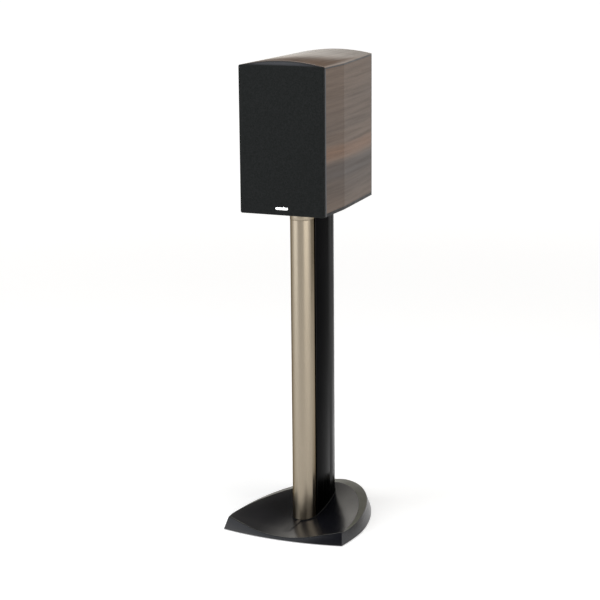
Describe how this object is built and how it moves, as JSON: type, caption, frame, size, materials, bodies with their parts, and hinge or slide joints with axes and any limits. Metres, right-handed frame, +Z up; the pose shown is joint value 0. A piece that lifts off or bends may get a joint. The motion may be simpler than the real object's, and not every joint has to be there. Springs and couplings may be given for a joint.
{
  "type": "bookshelf speaker on floor stand",
  "caption": "Compact two-way loudspeaker with a removable cloth grille and arched top, bolted to a floor stand with a paired-pillar column and a dished wedge-shaped base.",
  "frame": {"origin": "middle of the base's footprint, on the floor", "axes": "+Z up, +Y from the grille towards the back, +X to the right as seen from the front"},
  "size_m": [0.3076, 0.4, 1.0715],
  "materials": {
    "grille_plastic": "moulded, fine texture",
    "grille_fabric": "stretched knit cloth, matt",
    "badge_metal": "brushed, satin",
    "rubber": "matt black",
    "baffle_paint": "bluish grey satin lacquer",
    "walnut": "walnut veneer, horizontal grain, clear gloss lacquer",
    "fibreboard": "raw fibreboard",
    "black_board": "black satin lacquer",
    "reveal_black": "dark grey satin strip",
    "wadding": "polyester wadding",
    "basket_alloy": "cast, satin",
    "cone_alloy": "satin drawn metal",
    "spider_cloth": "resin-treated cloth",
    "copper": "enamelled copper wire",
    "plated_steel": "zinc plated",
    "weight_steel": "black coated plate",
    "ferrite": "ground ferrite",
    "black_metal": "black powder coat",
    "black_plastic": "fine moulded texture",
    "board_green": "solder-masked board",
    "capacitor_film": "shrink film",
    "resistor_cement": "white cement case",
    "wire_red": "wire insulation",
    "gold": "gold plated",
    "cap_black": "moulded",
    "cap_red": "moulded",
    "champagne": "champagne anodised extrusion",
    "black_anodised": "black satin anodised extrusion",
    "base_gloss": "polished black lacquer"
  },
  "bodies": {
    "stand_and_cabinet": {"grille_cups": "rubber", "front_baffle": "baffle_paint", "left_side_panel": "walnut", "right_side_panel": "walnut", "top_board": "fibreboard", "top_trim": "reveal_black", "top_panel": "walnut", "bottom_panel": "black_board", "back_panel": "black_board", "cabinet_brace": "fibreboard", "damping_pads": "wadding", "woofer_basket": "basket_alloy", "woofer_surround": "rubber", "woofer_spider": "spider_cloth", "woofer_top_plate": "plated_steel", "woofer_magnet": "ferrite", "woofer_yoke": "plated_steel", "woofer_screws": "black_metal", "tweeter_faceplate": "black_plastic", "tweeter_surround": "rubber", "tweeter_top_plate": "plated_steel", "tweeter_magnet": "ferrite", "tweeter_yoke": "plated_steel", "tweeter_rear_cup": "black_plastic", "tweeter_screws": "black_metal", "port_tube": "black_plastic", "crossover_board": "board_green", "crossover_coils": "copper", "crossover_capacitors": "capacitor_film", "crossover_resistors": "resistor_cement", "driver_leads": "wire_red", "terminal_plate": "black_plastic", "terminal_screws": "black_metal", "binding_posts": "gold", "post_jumpers": "gold", "mount_inserts": "gold", "mount_bolts": "black_metal", "isolation_pads": "rubber", "top_plate": "black_metal", "pillar_cap": "champagne", "front_pillar": "champagne", "rear_pillar": "black_anodised", "pillar_screws": "black_metal", "foot_collar": "rubber", "base_shell": "base_gloss", "base_weight": "weight_steel", "rubber_feet": "rubber"},
    "grille": {"grille_frame": "grille_plastic", "grille_cloth": "grille_fabric", "grille_badge": "badge_metal", "grille_pegs": "grille_plastic"},
    "woofer_moving": {"woofer_cone": "cone_alloy", "woofer_dust_cap": "cone_alloy", "woofer_coil": "copper"},
    "tweeter_moving": {"tweeter_dome": "cone_alloy", "tweeter_coil": "copper"},
    "cap_1": {"post_cap_1": "cap_black"},
    "cap_2": {"post_cap_2": "cap_black"},
    "cap_3": {"post_cap_3": "cap_red"},
    "cap_4": {"post_cap_4": "cap_red"}
  },
  "joints": [
    {"name": "grille_pull", "type": "slide", "parent": "stand_and_cabinet", "child": "grille", "axis": [0, -1, 0], "range_m": [0, 0.06]},
    {"name": "woofer_travel", "type": "slide", "parent": "stand_and_cabinet", "child": "woofer_moving", "axis": [0, -1, 0], "range_m": [-0.006, 0.006], "stiffness_N_per_m": 1200, "deforming": ["woofer_surround", "woofer_spider"]},
    {"name": "tweeter_travel", "type": "slide", "parent": "stand_and_cabinet", "child": "tweeter_moving", "axis": [0, -1, 0], "range_m": [-0.0004, 0.0004], "stiffness_N_per_m": 800, "deforming": ["tweeter_surround"]},
    {"name": "cap_1_turn", "type": "hinge", "parent": "stand_and_cabinet", "child": "cap_1", "pos_m": [-0.014, 0.175, 0.8], "axis": [0, 1, 0], "range_deg": [0, 1350]},
    {"name": "cap_2_turn", "type": "hinge", "parent": "stand_and_cabinet", "child": "cap_2", "pos_m": [-0.014, 0.175, 0.83], "axis": [0, 1, 0], "range_deg": [0, 1350]},
    {"name": "cap_3_turn", "type": "hinge", "parent": "stand_and_cabinet", "child": "cap_3", "pos_m": [0.014, 0.175, 0.8], "axis": [0, 1, 0], "range_deg": [0, 1350]},
    {"name": "cap_4_turn", "type": "hinge", "parent": "stand_and_cabinet", "child": "cap_4", "pos_m": [0.014, 0.175, 0.83], "axis": [0, 1, 0], "range_deg": [0, 1350]}
  ]
}
